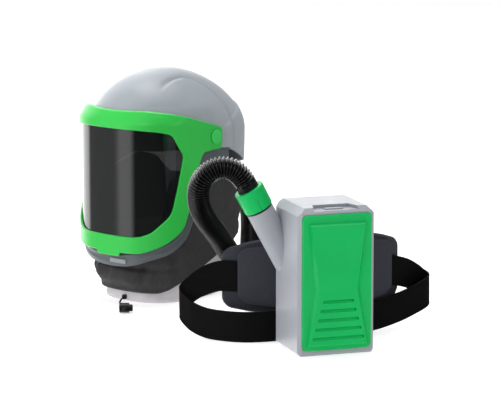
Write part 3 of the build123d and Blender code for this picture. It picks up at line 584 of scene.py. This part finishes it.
def band_rows(outer, inner, steps, front_grow, back_grow, round_off, lean):
    """Rows of a wrapped plate between two outlines, mirrored, with rounded edges.

    Each outline is a list of segments of arc length and height, matched one to one. lean says
    how far the front moves out at a point, from its distance in from the edge and the width.
    """
    left_outer, left_inner = [], []
    for outer_part, inner_part, count in zip(outer, inner, steps):
        left_outer += resample([Vector((a, b, 0)) for a, b in outer_part], count + 1)[:-1]
        left_inner += resample([Vector((a, b, 0)) for a, b in inner_part], count + 1)[:-1]
    left_outer.append(Vector((*outer[-1][-1], 0)))
    left_inner.append(Vector((*inner[-1][-1], 0)))
    full_outer = left_outer + [Vector((-p.x, p.y, 0)) for p in left_outer[-2:0:-1]]
    full_inner = left_inner + [Vector((-p.x, p.y, 0)) for p in left_inner[-2:0:-1]]
    columns = 14
    rows = []
    for o, i in zip(full_outer, full_inner):
        width = max((i - o).length, 0.5)
        r = min(round_off, width * 0.3)
        stops = [r * n for n in EDGE_STOPS]
        middle = [stops[-1] + (width - 2 * stops[-1]) * k / columns for k in range(1, columns)]
        places = stops + middle + [width - s for s in stops[::-1]]
        front, back = [], []
        for d in places:
            at = o.lerp(i, d / width)
            edge = min(d, width - d)
            drop = r - (max(r * r - (r - min(edge, r)) ** 2, 0)) ** 0.5
            extra = lean(at.x, at.y, d, width)
            front.append(wrap(at.x, at.y, front_grow - drop + extra))
            back.append(wrap(at.x, at.y, back_grow + min(extra, 0)))
        rows.append(front + back[::-1])
    return rows


def s_of(pairs):
    """Side-view points turned into arc length and height."""
    return [(arc_at(y), z) for y, z in pairs]


def make_visor_frame():
    """The green visor frame with its brow, swept arms and lift tab."""
    end = arc_at(0)
    top_arm = rounded([
        (0, 334, 0), (50, 335, 30), (arc_at(-120), 336, 30), (arc_at(-79), 330, 30), (arc_at(-31), 315, 30),
        (end + 2, 304, 10), (end + 16, 301, 8), (end + 17, 285, 0),
    ])
    end_arm = rounded([
        (end + 17, 285, 0), (end + 15.5, 263, 8), (end - 6, 264.5, 8), (arc_at(-23), 266, 9),
        (arc_at(-34), 250, 9), (arc_at(-51), 200, 0),
    ])
    cheek = rounded([
        (arc_at(-51), 200, 0), (arc_at(-60), 156, 25), (arc_at(-68), 133, 20), (arc_at(-97), 109, 24),
        (arc_at(-116), 99, 0),
    ])
    chin = rounded([(arc_at(-116), 99, 0), (60, 93, 20), (25, 92.5, 3), (23, 86, 3), (0, 86, 0)])
    win_top = rounded([
        (0, 304, 0), (60, 304, 20), (arc_at(-104), 301, 12), (arc_at(-88), 296, 8), (arc_at(-76), 272, 0),
    ])
    win_side = rounded([(arc_at(-76), 272, 0), (arc_at(-68.5), 260, 6), (arc_at(-78), 210, 0)])
    win_cheek = rounded([
        (arc_at(-78), 210, 0), (arc_at(-89), 160, 12), (arc_at(-115), 129, 16), (arc_at(-124), 123, 0),
    ])
    win_chin = [(arc_at(-124), 123), (50, 121.5), (0, 121)]
    brow_z = 312

    def lean(s, z, d, width):
        """The brow leans back over the dome, and the whole plate is slightly dished."""
        top = max(z - brow_z, 0)
        fade = 1 - step_up(abs(s) - 90, 90)
        dish = 0.3 * step_up(d - 2, 5) * step_up(width - d - 2, 5)
        return -(top**1.4) * 0.17 * fade - dish

    rows = band_rows(
        [top_arm, end_arm, cheek, chin], [win_top, win_side, win_cheek, win_chin],
        steps=[70, 56, 40, 50], front_grow=8.2, back_grow=4.3, round_off=2.6, lean=lean,
    )
    points, faces, uvs = grid(rows, ring_rows=True, ring_columns=True)
    uvs = scaled(uvs, 0.004, 0.004)
    surround = new_piece("visor_surround", points, faces, "visor", MATS["green"], uvs)
    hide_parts("visor_frame")


def make_lens():
    """The clear visor as one smooth wrapped sheet behind the frame."""
    side = s_of([(-98, 306), (-83, 301), (-61, 261), (-81, 156), (-110, 120), (-122, 113)])
    low, high, up, across = 113.5, 305.5, 60, 140
    rows = []
    for k in range(up + 1):
        z = low + (high - low) * k / up
        reach = 0
        for (s0, z0), (s1, z1) in zip(side, side[1:]):
            if min(z0, z1) <= z <= max(z0, z1) and z0 != z1:
                reach = max(reach, s0 + (s1 - s0) * (z - z0) / (z1 - z0))
        reach = max(reach, 60)
        places = [-reach + 2 * reach * j / across for j in range(across + 1)]
        rows.append([wrap(at, z, 4.0) for at in places] + [wrap(at, z, 2.2) for at in places[::-1]])
    points, faces, uvs = grid(rows, ring_columns=True)
    cap_ends(points, faces, uvs, len(rows[0]))
    lens = new_piece("visor_sheet", points, faces, "visor", MATS["clear_lens"], uvs)
    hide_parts("visor_lens")


def make_chin_bar():
    """The fixed lower face ring: a moulded band with two raised lines, up each cheek."""
    low = [(0, 66.5), (30, 68), (55, 73)]
    low += s_of([(-120, 79), (-89, 91.5), (-60.5, 114), (-46.5, 142), (-36, 185), (-3, 219), (45, 232)])
    high = [(0, 114), (50, 114)]
    high += s_of([
        (-122, 114), (-110, 121), (-82, 159), (-72, 210), (-62, 261), (-45, 275), (-10, 265), (45, 260),
    ])
    lows, highs = (
        resample([Vector((*p, 0)) for p in rounded([(a, b, 14) for a, b in edge])], 150)
        for edge in (low, high)
    )
    lows = [Vector((-p.x, p.y, 0)) for p in lows[:0:-1]] + lows
    highs = [Vector((-p.x, p.y, 0)) for p in highs[:0:-1]] + highs
    inside, flat = -2.8, 0.2
    # Distance up from the lower edge, and how far the surface stands out there
    profile = [
        (0, inside), (0, -0.8), (0.3, 0.0), (1.0, 0.5), (5.0, 0.5), (6.0, 1.3), (8.2, 1.4), (9.2, 0.5),
        (16.5, 0.5), (17.3, 1.5), (19.5, 1.6), (20.5, 0.4), (24, flat), (40, flat),
    ]
    rows = []
    for a, b in zip(lows, highs):
        width = (b - a).length
        toward = (b - a).normalized()
        fade = 1 - step_up((abs(a.x) - 190) / 40, 1)
        front = []
        for d, g in profile:
            at = a + toward * min(d, width * 0.98)
            front.append(wrap(at.x, at.y, min(g, flat) + max(g - flat, 0) * fade))
        front.append(wrap(b.x, b.y, 0.0))
        back = [wrap(b.x, b.y, inside)]
        back += [wrap(*(a + toward * width * share).xy, inside) for share in (0.75, 0.5, 0.25)]
        rows.append(front + back)
    points, faces, uvs = grid(rows, ring_columns=True)
    cap_ends(points, faces, uvs, len(rows[0]))
    bar = new_piece("chin_ring", points, faces, ROOT, MATS["dark_grey"], uvs)
    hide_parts("chin_bar")


def between(table, z):
    """Reads a table of heights and sizes at a height."""
    if z <= table[0][0]:
        return table[0][1:]
    for low, high in zip(table, table[1:]):
        if z <= high[0]:
            t = (z - low[0]) / (high[0] - low[0])
            return tuple(a + (b - a) * t for a, b in zip(low[1:], high[1:]))
    return table[-1][1:]


# Heights with the half width and the reach to the front and to the rear there
SHROUD = [
    (10, 87, 103, 118), (35, 94, 111, 126), (70, 100, 118, 136), (110, 106, 124, 143),
    (150, 108.5, 127.5, 147), (235, 109, 128.5, 149),
]
BIB = [(0, 83.4, 98.8, 113.0)]
# The shroud's upper and lower edge in side view: local y and height
SHROUD_TOP = [
    (-220, 80), (-128, 82), (-116, 92), (-90, 106), (-68, 130), (-52, 166), (-20, 209), (45, 233),
    (75, 222), (96, 192), (220, 179),
]
SHROUD_HEM = [(-220, 19), (-95, 19), (-80, 24), (-45, 42), (32, 78), (90, 98), (220, 110)]


def neck_point(turn, z, table, grow=0.0):
    """A local point of a cloth round the neck, whose sizes come from a table."""
    half, front, rear = between(table, z)
    s, c = sin(turn), cos(turn)
    power = FACE_POWER if c > 0 else NAPE_POWER
    x = copysign(abs(s) ** (2 / power), s) * (half + grow)
    return Vector((x, -copysign(abs(c) ** (2 / power), c) * ((front if c > 0 else rear) + grow), z))


def hem_height(outline, turn):
    """The height of one of the shroud's edges at a turn."""
    return height_on(outline, neck_point(turn, 60, SHROUD).y)


def make_shroud():
    """The charcoal neck shroud, gathered under the chin and hanging in soft folds to its hem."""
    around, up, thick = 260, 56, 1.4
    outer, inner = [], []
    for k in range(up + 1):
        share = k / up
        row_out, row_in = [], []
        for j in range(around):
            turn = 2 * pi * j / around - pi
            low, high = hem_height(SHROUD_HEM, turn), hem_height(SHROUD_TOP, turn)
            z = low + (high - low) * share
            free = sin(pi * min(share * 1.02, 1)) ** 0.8
            drape = noise.noise(Vector((turn * 2.1, z * 0.012, 3.1))) * 6.0
            folds = noise.noise(Vector((turn * 5.5 + z * 0.012, z * 0.035 - turn * 1.3, 9.4))) * 4.2
            small = noise.noise(Vector((turn * 15 - z * 0.03, z * 0.06 + turn, 5.7))) * 1.3
            front = max(cos(turn), 0) ** 2
            tuck = -7.0 * exp(-(((z - 64 + 3 * sin(turn * 2.3)) / 5.0) ** 2)) * front
            roll = 9.5 * exp(-(((z - 42 + 5 * sin(turn * 1.7 + 0.6)) / 13.0) ** 2)) * front
            pleat = 2.6 * sin(turn * 13 + z * 0.035) * max(-cos(turn + 0.35), 0) ** 1.5
            g = free * (drape + folds + small + tuck + roll + pleat - 1.0)
            g = min(g, 10.0) + 1.2 * exp(-((share - 0.03) / 0.03) ** 2)
            row_out.append(HELMET @ neck_point(turn, z, SHROUD, g))
            row_in.append(HELMET @ neck_point(turn, z, SHROUD, g - thick))
        outer.append(row_out)
        inner.append(row_in)
    points, faces, uvs = grid(outer + inner[::-1], ring_rows=True, ring_columns=True)
    uvs = scaled(uvs, 0.72 / around, 0.12 / up)
    cloth_piece = new_piece("shroud_cloth", points, faces, ROOT, MATS["charcoal_fabric"], uvs)
    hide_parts("neck_shroud")


def make_bib():
    """The white neck bib under the shroud, with a turned hem that stands on the surface."""
    around, up, thick = 240, 40, 1.6
    outer, inner = [], []
    for k in range(up + 1):
        z = 0.6 + 118 * (k / up) ** 1.2
        row_out, row_in = [], []
        for j in range(around):
            turn = 2 * pi * j / around - pi
            wave = noise.noise(Vector((turn * 3.2, z * 0.02, 1.7))) * 2.6
            wave += sin(turn * 21 + z * 0.05) * 0.5 * max(1 - z / 60, 0)
            hem = 0.9 * exp(-(((z - 5) / 4.0) ** 2)) - 0.6 * exp(-(((z - 9.5) / 0.9) ** 2))
            g = wave * (0.35 + 0.65 * min(z / 30, 1)) + hem - 0.4
            g -= 1.5 * max(1 - z / 6, 0) ** 2
            lift = 1.2 * max(noise.noise(Vector((turn * 2.2, 0, 4.4))), 0) * max(1 - z / 12, 0)
            raised = Vector((0, 0, lift))
            row_out.append(HELMET @ (neck_point(turn, z, BIB, g) + raised))
            row_in.append(HELMET @ (neck_point(turn, z, BIB, g - thick) + raised))
        outer.append(row_out)
        inner.append(row_in)
    points, faces, uvs = grid(outer + inner[::-1], ring_rows=True, ring_columns=True)
    uvs = scaled(uvs, 0.62 / around, 0.12 / up)
    bib = new_piece("bib_cloth", points, faces, ROOT, MATS["white_fabric"], uvs)
    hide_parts("neck_bib")


# ---------------------------------------------------------------- belt

PAD_X, PAD_Y, PAD_RADIUS = 22.0, 332.0, 260.0
# Stations of each strap's middle line
STRAP_LEFT = [
    (-100, 99.9, 101), (-119, 110.9, 102), (-138, 124.2, 100), (-162, 140, 88), (-181, 152, 70),
    (-189.5, 157, 60), (-191, 155, 52), (-186, 147, 43), (-176, 133, 33.5), (-158, 113, 26.5),
    (-135, 89, 25.2), (-111, 72, 25.2), (-85, 66, 25.2), (-60, 65.5, 25.2), (-12.3, 68, 25.2),
]
STRAP_RIGHT = [
    (130, 93.1, 99), (149, 102.6, 97), (168, 114.3, 92), (197, 137, 81), (221, 153, 67), (233, 156, 58),
    (238.5, 148, 52.5), (231, 136, 48), (204, 117.5, 42), (170, 99, 35.5), (130, 82, 30), (95, 73, 26.5),
    (66, 69, 25.2), (52, 68, 25.2),
]


def on_pad(x, z, radius):
    """A point on a cylinder about the wearer's back, at an arc distance from its middle."""
    turn = x / PAD_RADIUS
    return Vector((PAD_X + radius * sin(turn), PAD_Y - radius * cos(turn), z))


def make_cushion(name, corners, radius_in, radius_out, edge, puff, node, slot_name):
    """A padded sheet on the belt's curve: a crowned face with a seam sewn inside its edge."""
    around = 240
    half = (radius_out - radius_in) / 2
    mid = (radius_out + radius_in) / 2
    ring = rounded(corners, closed=True, steps=9)
    ring = resample([Vector((p.x, p.y, 0)) for p in ring + ring[:1]], around + 1)[:-1]
    middle = sum(ring, Vector()) / around
    insets = [0, 0.006, 0.02, 0.045, 0.085, 0.11, 0.14, 0.2, 0.3, 0.42, 0.55, 0.7, 0.85, 0.97]
    front, back = [], []
    for share in insets:
        rows = ([], [])
        for p in ring:
            at = p.lerp(middle, share)
            depth = share * (p - middle).length
            rise = min(depth / edge, 1)
            full = (1 - (1 - rise) ** 2.2) * (1 + puff * min(depth / 40, 1))
            seam = exp(-(((depth - edge * 1.6) / 1.3) ** 2)) * 0.45
            full -= seam
            wobble = noise.noise(Vector((at.x * 0.03, at.y * 0.03, radius_out))) * 0.12 * min(depth / 20, 1)
            rows[0].append(on_pad(at.x, at.y, mid + half * max(full + wobble, 0.08)))
            rows[1].append(on_pad(at.x, at.y, mid - half * min(max(full, 0.08), 1.0)))
        front.append(rows[0])
        back.append(rows[1])
    rows = front[::-1] + back
    points, faces, uvs = grid(rows, ring_columns=True)
    close_ring(points, faces, uvs, len(rows), around)
    flat_uvs = [[(points[i].x * MM, points[i].z * MM) for i in face] for face in faces]
    piece = new_piece(name, points, faces, ROOT, MATS[slot_name], flat_uvs)
    subdivide(piece)
    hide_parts(node)


def mirrored(half):
    """A closed outline from the corners of its right half."""
    return half + [(-x, z, r) for x, z, r in reversed(half)]


def make_pad():
    """The belt's back rest and the second panel sewn on it."""
    pad = mirrored([
        (62, 51, 6), (80, 43, 6), (116, 43, 8), (155, 49, 6), (165, 60, 5), (165, 137, 5), (155, 147, 7),
        (122, 157, 8), (72, 168, 10),
    ])
    make_cushion("back_pad", pad, 250.3, PAD_RADIUS, 7.0, 0.12, "belt_pad", "pad_fabric")
    panel = mirrored([(86, 54, 8), (122, 58, 6), (136, 70, 4), (136, 139, 4), (126, 148, 6), (62, 157, 10)])
    make_cushion("pad_cover", panel, 264.0, 267.4, 4.0, 0.15, "pad_panel", "pad_fabric")


def catmull(points, count):
    """A smooth line through points, evenly resampled."""
    points = [Vector(p) for p in points]
    out = []
    for i in range(len(points) - 1):
        a, b = points[max(i - 1, 0)], points[i]
        c, d = points[i + 1], points[min(i + 2, len(points) - 1)]
        for k in range(10):
            t = k / 10
            square, cube = 2 * a - 5 * b + 4 * c - d, 3 * b - a - 3 * c + d
            out.append(0.5 * ((2 * b) + (c - a) * t + square * t * t + cube * t**3))
    out.append(points[-1])
    return resample(out, count)


# The webbing's section: height from its middle and half thickness, with thicker selvedges
WEB_HALF = 25
WEB_SECTION = [
    (-WEB_HALF, 0.0), (-WEB_HALF, 0.8), (-24.2, 1.3), (-22.5, 1.3), (-21.8, 0.95), (-8, 1.05), (8, 1.05),
    (21.8, 0.95), (22.5, 1.3), (24.2, 1.3), (WEB_HALF, 0.8), (WEB_HALF, 0.0),
]


def make_strap(name, stations, node):
    """Belt webbing set on edge: a flat woven band, slightly twisted except at its ends."""
    count, straight = 150, 8
    line = catmull(stations, count)
    rows = []
    loop = WEB_SECTION + [(h, -t) for h, t in WEB_SECTION[-2:0:-1]]
    for i, at in enumerate(line):
        ahead = line[min(i + 1, len(line) - 1)] - line[max(i - 1, 0)]
        ahead = Vector((ahead.x, ahead.y, 0)).normalized()
        through = ahead.cross(Vector((0, 0, 1))).normalized()
        tilt = noise.noise(Vector((i * 0.03, 2.2, at.x * 0.001))) * 0.7
        if not straight <= i < count - straight:
            tilt = 0.0
        rows.append([at + Vector((0, 0, h)) + through * (t + tilt * (h / WEB_HALF)) for h, t in loop])
    points, faces, uvs = grid(rows, ring_columns=True)
    step = line_length(line) / (count - 1) * MM
    uvs = [[(loop[u % len(loop)][0] * MM, v * step) for u, v in corners] for corners in uvs]
    cap_ends(points, faces, uvs, len(loop))
    strap = new_piece(name, points, faces, ROOT, MATS["webbing"], uvs)
    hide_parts(node)


# The filter cover's slots: their number and pitch, the lowest one's middle, their height and widths
LOUVRES, LOUVRE_STEP, LOUVRE_LOW_Z, LOUVRE_HEIGHT = 5, 14.6, 29.0, 5.0
LOUVRE_WIDTH, LOUVRE_NARROWING, LOUVRE_PLAY = 86, 8.75, 0.6


def make_louvre_blades():
    """A sloping blade behind each slot of the filter cover, so that the slots look like scoops."""
    for index in range(LOUVRES):
        low = LOUVRE_LOW_Z + index * LOUVRE_STEP - LOUVRE_HEIGHT / 2
        high = low + LOUVRE_HEIGHT
        reach = (LOUVRE_WIDTH - LOUVRE_NARROWING * index) / 2 - LOUVRE_PLAY
        face = [(low - 0.2, -65.3), (high + 0.2, -62.2), (high + 0.2, -61.2), (low - 0.2, -64.1)]
        points = [Vector((x, y, z)) for x in (-reach, reach) for z, y in face]
        faces = [(0, 1, 2, 3), (7, 6, 5, 4), (0, 4, 5, 1), (1, 5, 6, 2), (2, 6, 7, 3), (3, 7, 4, 0)]
        new_piece(f"louvre_blade_{index + 1}", points, faces, "cover", MATS["cover_green"], smooth=False)


make_hose()
make_draw_cord()
make_shell()
make_visor_frame()
make_lens()
make_chin_bar()
make_shroud()
make_bib()
make_pad()
make_strap("webbing_left", STRAP_LEFT, "belt_strap_left")
make_strap("webbing_right", STRAP_RIGHT, "belt_strap_right")
make_louvre_blades()

# ---------------------------------------------------------------- room, light and camera


def make_stage():
    """The white floor, brightened a little and hidden from glossy rays."""
    bpy.ops.mesh.primitive_plane_add(size=60, location=(0, 8, 0))
    floor = bpy.context.object
    floor.name = "floor"
    floor.visible_glossy = False
    s = Shader("floor_white", (0.80, 0.80, 0.80), 0.8, Emission_Color=(1, 1, 1, 1), Emission_Strength=0.55)
    s.mottle(s.noise(2, 3), 0.995, 1.005)
    floor.data.materials.append(s.material)


# What a glossy surface sees round the room: a bearing as a share of a full turn, and a brightness
ROOM = [
    (0.0, 1.6), (0.035, 1.6), (0.065, 0.05), (0.30, 0.05), (0.40, 0.06), (0.52, 0.12), (0.66, 0.5),
    (0.70, 3.2), (0.868, 3.2), (0.89, 0.42), (0.97, 0.5), (0.99, 1.6),
]
# What every other ray sees
ROOM_LEVEL = 0.44


def make_world():
    """Even light for matt surfaces; tall bright panels in a dark room for glossy ones."""
    world = bpy.data.worlds.new("studio")
    bpy.context.scene.world = world
    world.use_nodes = True
    tree = world.node_tree
    nodes, links = tree.nodes, tree.links
    background = nodes["Background"]
    place = nodes.new("ShaderNodeTexCoord")
    split = nodes.new("ShaderNodeSeparateXYZ")
    links.new(place.outputs["Generated"], split.inputs[0])
    bearing = nodes.new("ShaderNodeMath")
    bearing.operation = "ARCTAN2"
    links.new(split.outputs["Y"], bearing.inputs[0])
    links.new(split.outputs["X"], bearing.inputs[1])
    share = nodes.new("ShaderNodeMapRange")
    share.inputs["From Min"].default_value = -pi
    share.inputs["From Max"].default_value = pi
    links.new(bearing.outputs[0], share.inputs["Value"])
    ramp = nodes.new("ShaderNodeValToRGB")
    links.new(share.outputs["Result"], ramp.inputs["Fac"])
    stops = ramp.color_ramp.elements
    while len(stops) < len(ROOM):
        stops.new(0.5)
    for stop, (at, level) in zip(stops, ROOM):
        stop.position = at
    for stop, (at, level) in zip(stops, ROOM):
        stop.color = (level, level, level, 1)
    rays = nodes.new("ShaderNodeLightPath")
    mix = nodes.new("ShaderNodeMix")
    mix.data_type = "RGBA"
    links.new(rays.outputs["Is Glossy Ray"], mix.inputs["Factor"])
    mix.inputs["A"].default_value = (ROOM_LEVEL, ROOM_LEVEL, ROOM_LEVEL, 1)
    links.new(ramp.outputs["Color"], mix.inputs["B"])
    links.new(mix.outputs["Result"], background.inputs["Color"])


def softbox(name, place, target, size, energy, glossy=True):
    """A rectangular soft light aimed at a point."""
    data = bpy.data.lights.new(name, "AREA")
    data.shape = "RECTANGLE"
    data.size, data.size_y = size
    data.energy = energy
    light = bpy.data.objects.new(name, data)
    bpy.context.scene.collection.objects.link(light)
    light.location = place
    aim = Vector(target) - Vector(place)
    light.rotation_euler = aim.to_track_quat("-Z", "Y").to_euler()
    light.visible_glossy = glossy


def make_camera():
    """The camera fitted to the photograph."""
    data = bpy.data.cameras.new("camera")
    data.sensor_width = 36
    data.lens = 201.6
    data.clip_end = 100
    camera = bpy.data.objects.new("camera", data)
    camera.location = (-1.490, -4.083, 0.990)
    camera.rotation_euler = (radians(80.0), 0, radians(-18.5))
    bpy.context.scene.collection.objects.link(camera)
    bpy.context.scene.camera = camera


make_stage()
make_world()
softbox("key", (-2.4, -1.6, 2.2), (-0.05, 0.3, 0.15), (1.4, 1.4), 24)
softbox("fill", (1.6, -2.6, 1.2), (0, 0.2, 0.15), (1.2, 1.6), 8)
softbox("top", (0, 0.6, 2.6), (0, 0.3, 0.1), (1.6, 1.6), 40)
softbox("strip_left", (-2.0, 0.9, 0.5), (-0.2, 0.45, 0.2), (0.25, 1.6), 14, glossy=False)
bpy.context.scene.view_settings.view_transform = "Standard"
make_camera()
